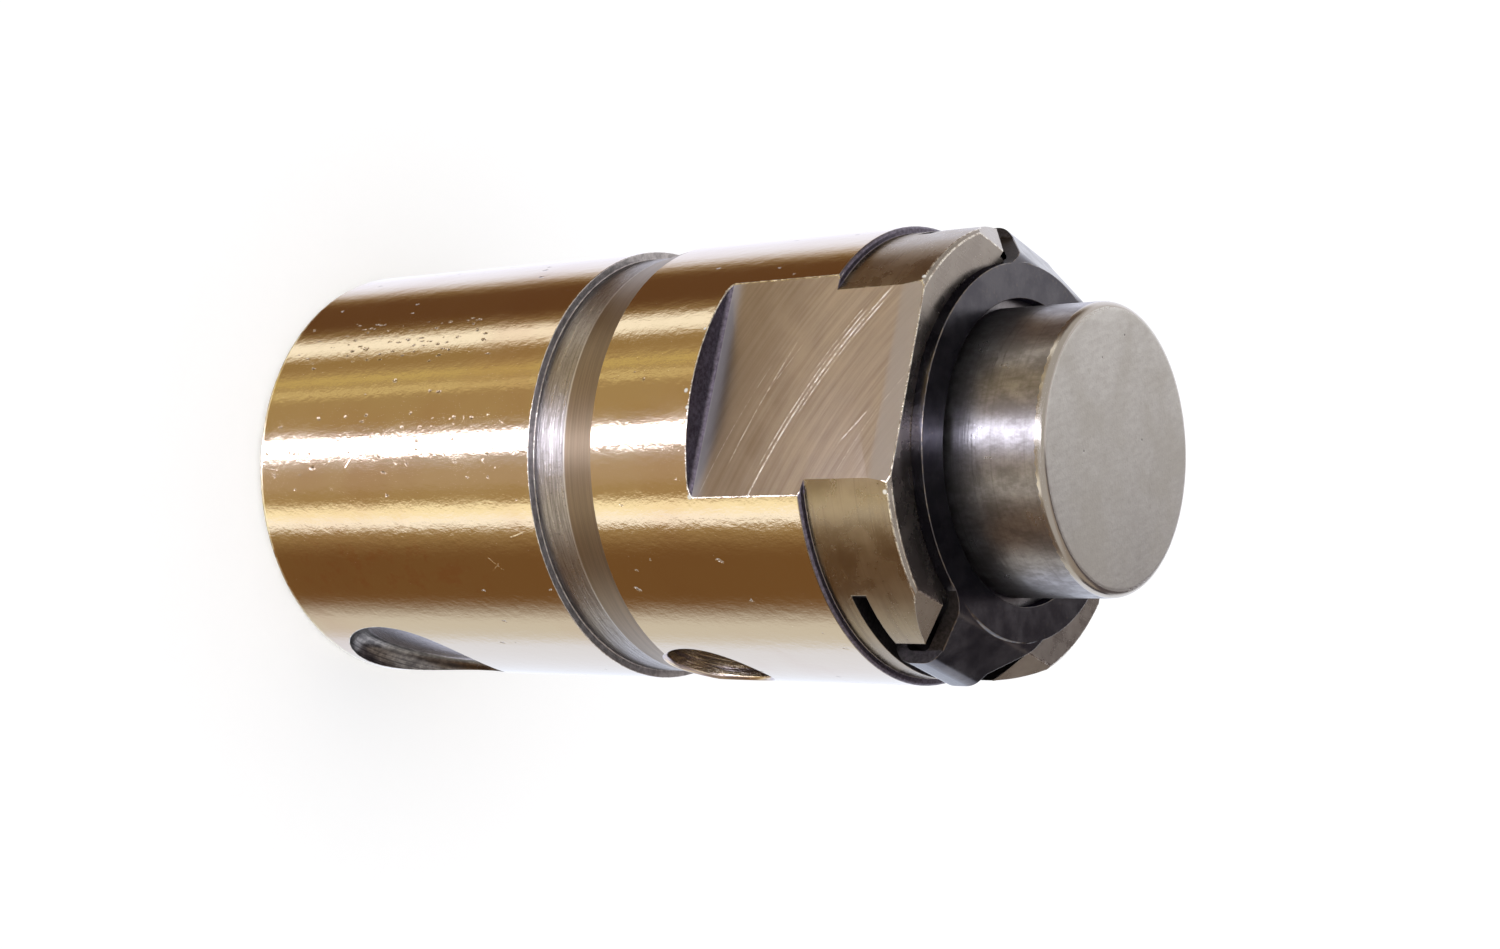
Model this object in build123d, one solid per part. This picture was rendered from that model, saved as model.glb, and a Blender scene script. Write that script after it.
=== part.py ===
"""Hydraulic valve lifter: a ground steel body with a sprung plunger held in by a folded sheet clip.

Units are millimetres. The foot, which rides on the cam, is at z = 0 and the axis is +Z.
The milled flats face -Y and +Y. The clip's legs, the oil hole and the round pocket face X.
"""
import os
from math import radians, sqrt, tan

from build123d import *

# body
body_diameter = 25.4
body_height = 46.4
neck_length = 5.4
neck_inset = 0.4
foot_chamfer = 0.35
step_chamfer = 0.12
neck_edge_chamfer = 0.2

# milled flats
flat_depth = 1.6
flat_length = 12.7
flat_corner_radius = 0.3
flat_relief_length = 1.35
flat_relief_angle = 5.0

# oil groove round the body
groove_height = 22.4
groove_width = 4.6
groove_depth = 0.45
groove_flank = 2.4

# oil hole and round pocket in the +X side
oil_hole_diameter = 6.1
oil_hole_height = 29.0
oil_hole_chamfer = 0.2
pocket_diameter = 10.1
pocket_height = 5.9
pocket_depth = 1.45
pocket_corner_radius = 1.4

# bore
body_wall = 4.0
bore_floor = 6.5
bore_floor_radius = 1.0
mouth_chamfer = 0.3

# bevels, notches and saw slits that take the clip
rim_width = 1.25
bevel_angle = 36.0
notch_wall = 0.83
notch_root_gap = 0.1
notch_tip_gap = 1.2
slit_rise = 1.25
slit_width = 0.9
slit_wall = 0.6
saw_diameter = 50.8

# clip
sheet = 0.7
plate_overhang = 0.3
nose_gap = 0.47
leg_root_width = 9.9
leg_tip_width = 4.5
leg_inset = 0.2
leg_slope = 44.0
clip_bend_radius = 0.8
clip_clearance = 0.03
hook_end_gap = 0.06
hook_gap = 0.1

# plunger
fit_clearance = 0.02
shoulder_gap = 0.05
shoulder_width = 0.87
nose_length = 6.3
nose_edge_radius = 0.5
shoulder_chamfer = 0.25
skirt_chamfer = 0.4
plunger_travel = 4.0
floor_clearance = 1.0
crown_thickness = 9.2
feed_groove_depth = 0.5
feed_groove_margin = 0.6
feed_hole_diameter = 2.5

# check valve
flange_wall = 0.68
flange_ledge = 1.5
seat_ledge = 1.0
seat_thickness = 3.0
port_diameter = 3.0
ball_diameter = 3.97
cage_sheet = 0.5
cage_diameter = 8.4
cage_depth = 5.5
cage_corner_radius = 0.45
cage_window_width = 1.8
cage_window_height = 2.6
cage_windows = 4
drain_hole_diameter = 1.6

# springs
return_wire = 1.1
return_side_gap = 1.9
return_turns = 4.0
ball_wire = 0.24
ball_spring_diameter = 2.9
ball_spring_turns = 3.5
spring_gap = 0.02

# worked out from the above
body_radius = body_diameter / 2
neck_radius = body_radius - neck_inset
bore_radius = body_radius - body_wall
step_height = body_height - neck_length
slit_height = step_height + slit_rise
slit_floor = bore_radius + slit_wall
bevel_start = bore_radius + rim_width
notch_floor = bore_radius + notch_wall
taper_end = body_radius - leg_inset - sheet
skirt_radius = bore_radius - fit_clearance
nose_radius = bore_radius - shoulder_width
plunger_top = body_height + nose_length
plunger_bottom = bore_floor + floor_clearance + plunger_travel + cage_depth - cage_sheet
flange_radius = skirt_radius - flange_wall
seat_radius = flange_radius - flange_ledge
reservoir_radius = seat_radius - seat_ledge

# how far a cutter runs past the surface that it opens
past = 2.0


def turned(points):
    """Revolve a closed half profile, given as (radius, height) points, about the axis."""
    return revolve(make_face(Polyline([(r, 0, z) for r, z in points], close=True)), Axis.Z)


def cylinder(radius, low, high):
    """A plain cylinder on the axis between two heights."""
    return Pos(0, 0, low) * Cylinder(radius, high - low, align=(Align.CENTER, Align.CENTER, Align.MIN))


def block(x_low, x_high, y_low, y_high, z_low, z_high):
    """A block between two corners."""
    size = Box(x_high - x_low, y_high - y_low, z_high - z_low, align=(Align.MIN, Align.MIN, Align.MIN))
    return Pos(x_low, y_low, z_low) * size


def side_hole(radius, height, start, end):
    """A round cutter along +X between two distances from the axis."""
    length = end - start
    tool = Cylinder(radius, length, align=(Align.CENTER, Align.CENTER, Align.MIN))
    return Pos(start, 0, height) * Rot(0, 90, 0) * tool


def body_blank():
    """The turned outside of the body, with its oil groove, step and neck."""
    floor = body_radius - groove_depth
    groove_top = groove_height + groove_width
    return turned([
        (0, 0),
        (body_radius - foot_chamfer, 0),
        (body_radius, foot_chamfer),
        (body_radius, groove_height),
        (floor, groove_height),
        (floor, groove_top - groove_flank),
        (body_radius, groove_top),
        (body_radius, step_height - step_chamfer),
        (body_radius - step_chamfer, step_height),
        (neck_radius, step_height),
        (neck_radius, body_height - neck_edge_chamfer),
        (neck_radius - neck_edge_chamfer, body_height),
        (0, body_height),
    ])


def body_bore():
    """The blind bore, with a rounded floor and a chamfered mouth."""
    bore = cylinder(bore_radius, bore_floor, body_height + past)
    bore = fillet(bore.edges().group_by(Axis.Z)[0], bore_floor_radius)
    mouth = Pos(0, 0, body_height) * Cone(
        bore_radius, bore_radius + past, past, align=(Align.CENTER, Align.CENTER, Align.MIN)
    )
    return bore + Pos(0, 0, -mouth_chamfer) * mouth


def flat_cutter():
    """What the side mill takes off to leave the flat that faces -Y, with its relieved end."""
    face_y = flat_depth - body_radius
    low = body_height - flat_length
    relief_low = body_height - flat_relief_length
    high = body_height + past
    relief_y = face_y + (high - relief_low) * tan(radians(flat_relief_angle))
    outline = [
        (0, face_y, low),
        (0, face_y, relief_low),
        (0, relief_y, high),
        (0, -body_radius - past, high),
        (0, -body_radius - past, low),
    ]
    tool = extrude(make_face(Polyline(outline, close=True)), body_radius, both=True)
    corner = tool.edges().filter_by(Axis.X).sort_by_distance(Vector(0, face_y, low))[0]
    return fillet(corner, flat_corner_radius)


def tapered(root_width, tip_width, start, low):
    """A prism that narrows from the bore outwards, as the clip's legs and their notches do."""
    half_root = root_width / 2
    half_tip = tip_width / 2
    end = body_radius + past
    outline = [
        (bore_radius, -half_root, low),
        (taper_end, -half_tip, low),
        (end, -half_tip, low),
        (end, half_tip, low),
        (taper_end, half_tip, low),
        (bore_radius, half_root, low),
    ]
    prism = extrude(make_face(Polyline(outline, close=True)), body_height + past - low, dir=(0, 0, 1))
    return prism - block(0, start, -body_radius, body_radius, low - past, body_height + 2 * past)


def clip_seat_cutter():
    """Bevel, notch and saw slit on the +X side of the neck."""
    drop = (body_radius + past - bevel_start) * tan(radians(bevel_angle))
    bevel_outline = [
        (bevel_start, 0, body_height),
        (body_radius + past, 0, body_height - drop),
        (body_radius + past, 0, body_height + past),
        (bevel_start, 0, body_height + past),
    ]
    bevel = extrude(make_face(Polyline(bevel_outline, close=True)), body_radius, both=True)
    notch_root = leg_root_width + 2 * notch_root_gap
    notch_tip = leg_tip_width + 2 * notch_tip_gap
    notch = tapered(notch_root, notch_tip, notch_floor, slit_height + slit_width / 2)
    saw = Pos(slit_floor + saw_diameter / 2, 0, 0) * cylinder(
        saw_diameter / 2, slit_height, slit_height + slit_width
    )
    return bevel + notch + saw


def lifter_body():
    """The one-piece body: turned, bored, milled flat on two sides and sawn for the clip."""
    part = body_blank() - body_bore()
    flat = flat_cutter()
    seat = clip_seat_cutter()
    part -= flat
    part -= Rot(0, 0, 180) * flat
    part -= seat
    part -= Rot(0, 0, 180) * seat
    pocket = side_hole(pocket_diameter / 2, pocket_height, body_radius - pocket_depth, body_radius + past)
    part -= fillet(pocket.edges().group_by(Axis.X)[0], pocket_corner_radius)
    part -= side_hole(oil_hole_diameter / 2, oil_hole_height, 0, body_radius + past)
    rim_top = Vector(body_radius, 0, oil_hole_height + oil_hole_diameter / 2)
    rim_bottom = Vector(body_radius, 0, oil_hole_height - oil_hole_diameter / 2)
    rim = part.edges().sort_by_distance(rim_top)[:2] + part.edges().sort_by_distance(rim_bottom)[:2]
    return chamfer(set(rim), oil_hole_chamfer)


def clip_leg():
    """One sheet leg: out over the bevel, down the notch and hooked into the slit."""
    middle_z = body_height + sheet / 2
    middle_x = taper_end + sheet / 2
    hook_z = slit_height + slit_width - hook_gap - sheet / 2
    saw_radius = saw_diameter / 2
    slit_bow = saw_radius - sqrt(saw_radius ** 2 - (leg_tip_width / 2) ** 2)
    hook_x = slit_floor + slit_bow + hook_end_gap
    bend_x = notch_floor + clip_clearance + clip_bend_radius * tan(radians(leg_slope / 2))
    slope_z = middle_z - (middle_x - bend_x) * tan(radians(leg_slope))
    path = FilletPolyline(
        (bore_radius, 0, middle_z),
        (bend_x, 0, middle_z),
        (middle_x, 0, slope_z),
        (middle_x, 0, hook_z),
        (hook_x, 0, hook_z),
        radius=clip_bend_radius,
    )
    section = Plane(origin=path @ 0, x_dir=(0, 1, 0), z_dir=path % 0) * Rectangle(leg_root_width, sheet)
    taper_low = slit_height + slit_width + clip_bend_radius
    tongue = block(
        slit_floor, body_radius, -leg_tip_width / 2, leg_tip_width / 2, slit_height, taper_low
    )
    return sweep(section, path) & (tapered(leg_root_width, leg_tip_width, bore_radius, taper_low) + tongue)


def retaining_clip():
    """A ring plate with two hooked legs, folded from one sheet."""
    plate = cylinder(bevel_start + plate_overhang, body_height, body_height + sheet)
    leg = clip_leg()
    hole = cylinder(nose_radius + nose_gap, body_height - past, body_height + past)
    return plate + leg + Rot(0, 0, 180) * leg - hole


def plunger():
    """Closed-top plunger: ground nose, shouldered skirt, feed groove and oil reservoir."""
    shoulder = body_height - shoulder_gap
    blank = turned([
        (0, plunger_bottom),
        (skirt_radius - skirt_chamfer, plunger_bottom),
        (skirt_radius, plunger_bottom + skirt_chamfer),
        (skirt_radius, shoulder - shoulder_chamfer),
        (skirt_radius - shoulder_chamfer, shoulder),
        (nose_radius, shoulder),
        (nose_radius, plunger_top),
        (0, plunger_top),
    ])
    blank = fillet(blank.edges().group_by(Axis.Z)[-1], nose_edge_radius)
    groove_low = oil_hole_height - oil_hole_diameter / 2 - feed_groove_margin
    groove_high = oil_hole_height + oil_hole_diameter / 2 + plunger_travel
    outer = cylinder(skirt_radius + past, groove_low, groove_high)
    inner = cylinder(skirt_radius - feed_groove_depth, groove_low - past, groove_high + past)
    blank -= outer - inner
    feed_height = (groove_low + groove_high) / 2
    blank -= side_hole(feed_hole_diameter / 2, feed_height, 0, body_radius)
    seat_low = plunger_bottom + cage_sheet
    blank -= cylinder(reservoir_radius, plunger_bottom - past, plunger_top - crown_thickness)
    blank -= cylinder(seat_radius, plunger_bottom - past, seat_low + seat_thickness)
    blank -= cylinder(flange_radius, plunger_bottom - past, seat_low)
    return blank


def valve_seat():
    """The disc pressed into the plunger's lower end, with the port that the ball shuts."""
    low = plunger_bottom + cage_sheet
    disc = cylinder(seat_radius, low, low + seat_thickness)
    return disc - cylinder(port_diameter / 2, low - past, low + seat_thickness + past)


def ball_centre():
    """Height of the ball's centre when it rests on the rim of the port."""
    ball_radius = ball_diameter / 2
    rim_drop = sqrt(ball_radius ** 2 - (port_diameter / 2) ** 2)
    return plunger_bottom + cage_sheet - rim_drop - spring_gap


def check_ball():
    """The steel ball of the check valve."""
    return Pos(0, 0, ball_centre()) * Sphere(ball_diameter / 2)


def check_valve_cage():
    """A pressed cup with a flange, four side windows and a drain hole."""
    top = plunger_bottom + cage_sheet
    low = top - cage_depth
    cup_radius = cage_diameter / 2
    flange = cylinder(flange_radius, plunger_bottom, top)
    cup = cylinder(cup_radius, low, top)
    cup = fillet(cup.edges().group_by(Axis.Z)[0], cage_corner_radius)
    cage = flange + cup - cylinder(cup_radius - cage_sheet, low + cage_sheet, top + past)
    cage -= cylinder(drain_hole_diameter / 2, low - past, low + past)
    window_low = low + cage_sheet + cage_corner_radius
    window = block(
        0, cup_radius + past, -cage_window_width / 2, cage_window_width / 2,
        window_low, window_low + cage_window_height,
    )
    for i in range(cage_windows):
        cage -= Rot(0, 0, (i + 0.5) * 360 / cage_windows) * window
    return cage


def coil_spring(low, high, mean_diameter, wire, turns):
    """A round-wire coil whose wire just clears the faces at both its ends."""
    first = low + wire / 2 + spring_gap
    rise = high - low - wire - 2 * spring_gap
    path = Helix(pitch=rise / turns, height=rise, radius=mean_diameter / 2)
    section = Plane(origin=path @ 0, z_dir=path % 0) * Circle(wire / 2)
    return Pos(0, 0, first) * sweep(section, path, is_frenet=True)


def plunger_spring():
    """The return spring between the bore's floor and the cage's flange."""
    mean = 2 * (bore_radius - return_side_gap) - return_wire
    return coil_spring(bore_floor, plunger_bottom, mean, return_wire, return_turns)


def check_ball_spring():
    """The light spring between the cage's floor and the ball."""
    low = plunger_bottom + cage_sheet - cage_depth + cage_sheet
    mean = ball_spring_diameter - ball_wire
    ball_radius = ball_diameter / 2
    contact = ball_centre() - sqrt(ball_radius ** 2 - (mean / 2) ** 2) - ball_wire / 2
    return coil_spring(low, contact, mean, ball_wire, ball_spring_turns)


nodes = {
    "lifter_body": lifter_body,
    "retaining_clip": retaining_clip,
    "plunger": plunger,
    "valve_seat": valve_seat,
    "check_ball": check_ball,
    "check_ball_spring": check_ball_spring,
    "check_valve_cage": check_valve_cage,
    "plunger_spring": plunger_spring,
}

os.makedirs("parts", exist_ok=True)
for name, make in nodes.items():
    export_step(make(), f"parts/{name}.step")
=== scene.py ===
# Valve lifter: the looks of a ground and machined steel part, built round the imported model.
# Units are metres; sizes that read better in millimetres or microns are multiplied by mm or micron.
import math

import bmesh
import bpy
from mathutils import Matrix, Vector
from mathutils.bvhtree import BVHTree


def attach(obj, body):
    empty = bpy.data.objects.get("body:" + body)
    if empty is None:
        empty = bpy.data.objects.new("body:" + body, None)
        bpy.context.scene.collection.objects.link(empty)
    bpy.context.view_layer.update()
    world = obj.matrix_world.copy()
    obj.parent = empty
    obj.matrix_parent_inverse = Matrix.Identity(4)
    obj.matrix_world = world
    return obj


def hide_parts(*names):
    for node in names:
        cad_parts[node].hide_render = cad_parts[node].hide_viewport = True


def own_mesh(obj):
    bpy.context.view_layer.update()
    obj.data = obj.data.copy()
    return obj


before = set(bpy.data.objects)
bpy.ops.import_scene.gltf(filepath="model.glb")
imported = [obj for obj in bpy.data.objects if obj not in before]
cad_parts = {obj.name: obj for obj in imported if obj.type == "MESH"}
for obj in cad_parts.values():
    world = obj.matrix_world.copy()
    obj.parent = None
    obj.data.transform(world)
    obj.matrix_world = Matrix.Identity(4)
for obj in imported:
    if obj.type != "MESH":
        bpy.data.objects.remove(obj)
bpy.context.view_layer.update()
mm = 0.001
micron = 0.001 * mm
scene = bpy.context.scene
scene.view_settings.view_transform = "Standard"
print("stage: frame loaded,", len(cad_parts), "nodes")


# Camera: looks down on the upright lifter, rolled so that its axis runs across the picture
cameraPlan = {
    "place": (0.04195, -0.10987, 0.11811),
    "target": (0.00068, 0.00026, 0.02826),
    "pictureUp": (-0.94245, -0.33346, 0.02421),
    "lens": 60.85,
    "sensor": 36.0,
    "clipStart": 0.005,
}


def makeCamera(plan):
    place = Vector(plan["place"])
    back = (place - Vector(plan["target"])).normalized()
    right = Vector(plan["pictureUp"]).cross(back).normalized()
    up = back.cross(right)
    data = bpy.data.cameras.new("studioCamera")
    data.lens = plan["lens"]
    data.sensor_width = plan["sensor"]
    data.clip_start = plan["clipStart"]
    camera = bpy.data.objects.new("studioCamera", data)
    turn = Matrix((right, up, back)).transposed()
    camera.matrix_world = Matrix.Translation(place) @ turn.to_4x4()
    scene.collection.objects.link(camera)
    scene.camera = camera


# Node building. Marks are laid on a pattern in millimetres and fade out at their edges.
class Graph:
    core = 0.3     # share of a mark's width that has its full strength
    taper = 0.15   # share of a scratch's length over which it fades at either end
    arcFade = 0.5  # millimetres over which a curved scratch fades at either end

    def __init__(self, tree):
        self.tree = tree

    def add(self, kind, inputs=None, **settings):
        node = self.tree.nodes.new(kind)
        for name, value in settings.items():
            setattr(node, name, value)
        for key, value in (inputs or {}).items():
            self.feed(node.inputs[key], value)
        return node

    def feed(self, socket, value):
        if isinstance(value, bpy.types.NodeSocket):
            self.tree.links.new(value, socket)
        else:
            socket.default_value = value

    def math(self, operation, *values):
        return self.add("ShaderNodeMath", dict(enumerate(values)), operation=operation).outputs[0]

    def vector(self, operation, *values):
        node = self.add("ShaderNodeVectorMath", dict(enumerate(values)), operation=operation)
        return node.outputs["Value" if operation in ("LENGTH", "DOT_PRODUCT") else "Vector"]

    def split(self, value):
        return self.add("ShaderNodeSeparateXYZ", {0: value}).outputs

    def join(self, x, y, z=0.0):
        return self.add("ShaderNodeCombineXYZ", {0: x, 1: y, 2: z}).outputs[0]

    def ramp(self, value, low, high, start=0.0, end=1.0):
        inputs = {"Value": value, "From Min": low, "From Max": high, "To Min": start, "To Max": end}
        return self.add("ShaderNodeMapRange", inputs, interpolation_type="SMOOTHSTEP").outputs["Result"]

    def between(self, value, low, high, soft):
        rise = self.ramp(value, low - soft, low + soft)
        return self.math("MULTIPLY", rise, self.ramp(value, high - soft, high + soft, 1.0, 0.0))

    def times(self, *values):
        result = values[0]
        for value in values[1:]:
            result = self.math("MULTIPLY", result, value)
        return result

    def most(self, *values):
        result = values[0]
        for value in values[1:]:
            result = self.math("MAXIMUM", result, value)
        return result

    def mix(self, share, first, second):
        node = self.add("ShaderNodeMix", data_type="RGBA")
        self.feed(node.inputs[0], share)
        self.feed(node.inputs[6], first)
        self.feed(node.inputs[7], second)
        return node.outputs[2]

    def noise(self, place, stretch=1.0, detail=3.0, roughness=0.55):
        if not isinstance(stretch, tuple):
            stretch = (stretch, stretch, stretch)
        place = self.vector("MULTIPLY", place, stretch)
        inputs = {"Vector": place, "Scale": 1.0, "Detail": detail, "Roughness": roughness}
        return self.add("ShaderNodeTexNoise", inputs).outputs["Fac"]

    def pits(self, place, scale, size, share):
        cells = self.add("ShaderNodeTexVoronoi", {"Vector": place, "Scale": scale})
        draw = self.add("ShaderNodeSeparateColor", {0: cells.outputs["Color"]}).outputs[0]
        near = self.ramp(cells.outputs["Distance"], size, size * self.core)
        return self.times(near, self.math("LESS_THAN", draw, share))

    def bump(self, height, depth, normal=None):
        # depth is in microns
        inputs = {"Height": height, "Distance": depth * micron}
        if normal is not None:
            inputs["Normal"] = normal
        return self.add("ShaderNodeBump", inputs).outputs["Normal"]

    def stroke(self, sheet, start, end, width):
        # a straight scratch between two points of a flat or unrolled sheet
        length = math.dist(start, end)
        along = ((end[0] - start[0]) / length, (end[1] - start[1]) / length, 0)
        offset = self.vector("SUBTRACT", sheet, (start[0], start[1], 0))
        run = self.vector("DOT_PRODUCT", offset, along)
        side = self.vector("DOT_PRODUCT", offset, (-along[1], along[0], 0))
        near = self.ramp(self.math("ABSOLUTE", side), width, width * self.core)
        return self.times(near, self.between(run, 0.0, length, length * self.taper))

    def arc(self, sheet, centre, radius, reach, width):
        # a curved scratch, part of a circle between two places along the sheet's first axis
        offset = self.vector("SUBTRACT", sheet, (centre[0], centre[1], 0))
        gap = self.math("ABSOLUTE", self.math("SUBTRACT", self.vector("LENGTH", offset), radius))
        run = self.between(self.split(sheet)["X"], reach[0], reach[1], self.arcFade)
        return self.times(self.ramp(gap, width, width * self.core), run)


def colour(red, green, blue):
    return (red, green, blue, 1.0)


# World: a white studio to the camera, warm walls with strip lamps to polished metal.
# Azimuth is measured round +Z from +X, in degrees. Reach is how far to either side a band is full, and where it
# ends. Lines, rises, feet and tops are heights on the world's unit sphere. Later bands lie over earlier ones.
studioPlan = {
    "backdrop": colour(1.0, 1.0, 1.0),
    "plainLight": 0.9,
    "wall": colour(0.54, 0.38, 0.165),
    "dome": colour(0.70, 0.67, 0.63),
    "domeRise": (0.05, 0.36),
    "domePanels": [
        {"azimuth": 53, "reach": (12, 42), "tint": colour(0.50, 0.43, 0.36)},
        {"azimuth": 137, "reach": (21, 27), "tint": colour(0.97, 0.96, 0.97)},
        {"azimuth": 88, "reach": (19, 23), "tint": colour(0.15, 0.125, 0.13)},
    ],
    "ground": colour(0.58, 0.49, 0.38),
    "groundLine": (-0.97, -0.86),
    "fadeLine": (-0.48, -0.34),  # walls above it are paler, so that low views show plain steel
    "fade": 0.55,
    "bands": [
        {"azimuth": 75, "reach": (32, 74), "tint": colour(1.05, 1.13, 1.30)},
        {"azimuth": 22, "reach": (2, 24), "tint": colour(0.88, 0.85, 0.74)},
        {"azimuth": 128, "reach": (20, 41), "tint": colour(1.15, 1.18, 1.36)},
        {"azimuth": -176, "reach": (8, 24), "tint": colour(0.17, 0.08, 0.03)},
        {"azimuth": -8, "reach": (10, 32), "tint": colour(0.235, 0.12, 0.04)},
        {"azimuth": -137, "reach": (2, 6), "tint": colour(0.44, 0.29, 0.11)},
        {"azimuth": -126, "reach": (0.8, 3.2), "tint": colour(0.80, 0.62, 0.22)},
        {"azimuth": -118, "reach": (0.6, 3.0), "tint": colour(0.92, 0.74, 0.33)},
        {"azimuth": -149, "reach": (2.5, 7.5), "tint": colour(1.45, 1.38, 1.15)},
        {"azimuth": -46, "reach": (3, 7.5), "tint": colour(1.50, 1.36, 0.90)},
        {"azimuth": -41.5, "reach": (1, 4.5), "tint": colour(1.55, 1.50, 1.35)},
        {"azimuth": -68, "reach": (2, 10), "tint": colour(0.62, 0.46, 0.27)},
        {"azimuth": -84, "reach": (4, 14), "tint": colour(0.75, 0.64, 0.55)},
    ],
    "card": {
        "azimuth": 56, "reach": (13, 19), "foot": (0.04, 0.11), "top": (0.37, 0.30), "tint": colour(0.10, 0.085, 0.09),
    },
    "lamp": {"azimuth": -85.1, "reach": (2.0, 5.0), "top": (0.86, 0.74), "tint": colour(11.0, 11.3, 12.8)},
    "cornerShade": colour(0.020, 0.015, 0.030),  # for inner corners, which see the room by way of a neighbour
    "cornerBounce": (1.2, 1.8),                  # from the second glossy bounce on
    "cornerRise": (0.0, 0.25),
}


def makeWorld(plan):
    world = bpy.data.worlds.new("studioWorld")
    world.use_nodes = True
    world.cycles.sampling_method = "NONE"  # polished metal then sees the bands as they are
    tree = world.node_tree
    tree.nodes.clear()
    g = Graph(tree)
    direction = g.add("ShaderNodeTexCoord").outputs["Generated"]
    level = g.vector("NORMALIZE", g.vector("MULTIPLY", direction, (1, 1, 0)))
    height = g.split(direction)["Z"]

    def bandShare(band):
        angle = math.radians(band["azimuth"])
        facing = g.vector("DOT_PRODUCT", level, (math.cos(angle), math.sin(angle), 0))
        full, end = (math.cos(math.radians(a)) for a in band["reach"])
        return g.ramp(facing, end, full)

    tint = plan["wall"]
    for band in plan["bands"]:
        tint = g.mix(bandShare(band), tint, band["tint"])
    tint = g.mix(g.ramp(height, *plan["groundLine"]), plan["ground"], tint)
    faded = g.ramp(height, *plan["fadeLine"], 1.0, plan["fade"])
    tint = g.add("ShaderNodeHueSaturation", {"Color": tint, "Saturation": faded}).outputs[0]
    dome = plan["dome"]
    for panel in plan["domePanels"]:
        dome = g.mix(bandShare(panel), dome, panel["tint"])
    tint = g.mix(g.ramp(height, *plan["domeRise"]), tint, dome)
    card = plan["card"]
    cardShare = g.times(bandShare(card), g.ramp(height, *card["foot"]), g.ramp(height, *card["top"]))
    tint = g.mix(cardShare, tint, card["tint"])
    path = g.add("ShaderNodeLightPath")
    bounce = g.ramp(path.outputs["Glossy Depth"], *plan["cornerBounce"])
    tint = g.mix(g.times(bounce, g.ramp(height, *plan["cornerRise"])), tint, plan["cornerShade"])
    lamp = plan["lamp"]
    lampShare = g.times(bandShare(lamp), g.ramp(height, *plan["groundLine"]), g.ramp(height, *lamp["top"]))
    tint = g.mix(lampShare, tint, lamp["tint"])
    seen = g.add("ShaderNodeBackground", {"Color": plan["backdrop"], "Strength": 1.0})
    lit = g.add("ShaderNodeBackground", {"Color": plan["backdrop"], "Strength": plan["plainLight"]})
    mirrored = g.add("ShaderNodeBackground", {"Color": tint, "Strength": 1.0})
    toCamera, toGlossy = path.outputs["Is Camera Ray"], path.outputs["Is Glossy Ray"]
    plain = g.add("ShaderNodeMixShader", {0: toCamera, 1: lit.outputs[0], 2: seen.outputs[0]})
    result = g.add("ShaderNodeMixShader", {0: toGlossy, 1: plain.outputs[0], 2: mirrored.outputs[0]})
    g.add("ShaderNodeOutputWorld", {"Surface": result.outputs[0]})
    scene.world = world


floorPlan = {
    "halfSide": 3.0,
    "paint": colour(0.72, 0.72, 0.73),
    "lift": 0.42,  # added towards the camera only, so that the floor stays near white
}


def makeFloor(plan):
    side = plan["halfSide"]
    mesh = bpy.data.meshes.new("studioFloor")
    mesh.from_pydata([(-side, -side, 0), (side, -side, 0), (side, side, 0), (-side, side, 0)], [], [(0, 1, 2, 3)])
    material = bpy.data.materials.new("studioFloor")
    material.use_nodes = True
    tree = material.node_tree
    tree.nodes.clear()
    g = Graph(tree)
    seen = g.add("ShaderNodeLightPath").outputs["Is Camera Ray"]
    paint = g.add("ShaderNodeBsdfDiffuse", {"Color": plan["paint"]})
    lift = g.add("ShaderNodeEmission", {"Strength": g.math("MULTIPLY", seen, plan["lift"])})
    both = g.add("ShaderNodeAddShader", {0: paint.outputs[0], 1: lift.outputs[0]})
    g.add("ShaderNodeOutputMaterial", {"Surface": both.outputs[0]})
    mesh.materials.append(material)
    floor = bpy.data.objects.new("studioFloor", mesh)
    floor.visible_glossy = False  # polished metal sees the studio's bands in its place
    scene.collection.objects.link(floor)


makeCamera(cameraPlan)
makeWorld(studioPlan)
makeFloor(floorPlan)
print("stage: studio ready")


# Where each machined zone of the body lies, in millimetres
bodyZones = {
    "outsideRadius": 12.7, "neckRadius": 12.3, "boreRadius": 8.7, "grooveLow": 22.4, "grooveTurn": 24.6,
    "grooveHigh": 27.0, "step": 41.0, "top": 46.4, "flatLow": 33.7, "flatFace": 11.1, "cornerRadius": 0.3,
    "holeHeight": 29.0, "holeRadius": 3.3, "pocketHeight": 5.9, "pocketRadius": 5.1, "pocketFloor": 11.25,
    "slitLow": 42.25, "slitHigh": 43.15, "notchFloor": 9.53, "notchHalf": 5.15,
    "holeStart": 8.0, "boreBend": 8.0, "flatHalf": 6.6, "sideStart": 8.8,
}


# Materials. Patterns are laid out in millimetres, either straight or unrolled round the lifter's axis.
# In every plan "polish" is the roughness at the two ends of a blotchy pattern.
def newFinish(name, base, roughness, metallic=1.0):
    material = bpy.data.materials.new(name)
    material.use_nodes = True
    g = Graph(material.node_tree)
    shader = material.node_tree.nodes["Principled BSDF"]
    shader.inputs["Metallic"].default_value = metallic
    shader.inputs["Base Color"].default_value = base
    shader.inputs["Roughness"].default_value = roughness
    place = g.vector("MULTIPLY", g.add("ShaderNodeTexCoord").outputs["Object"], (1 / mm, 1 / mm, 1 / mm))
    return material, g, shader, place


def shaded(base, share):
    return colour(*(share * c for c in base[:3]))


def unrolled(g, place, radius):
    axes = g.split(place)
    return g.join(g.math("MULTIPLY", g.math("ARCTAN2", axes["Y"], axes["X"]), radius), axes["Z"])


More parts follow.
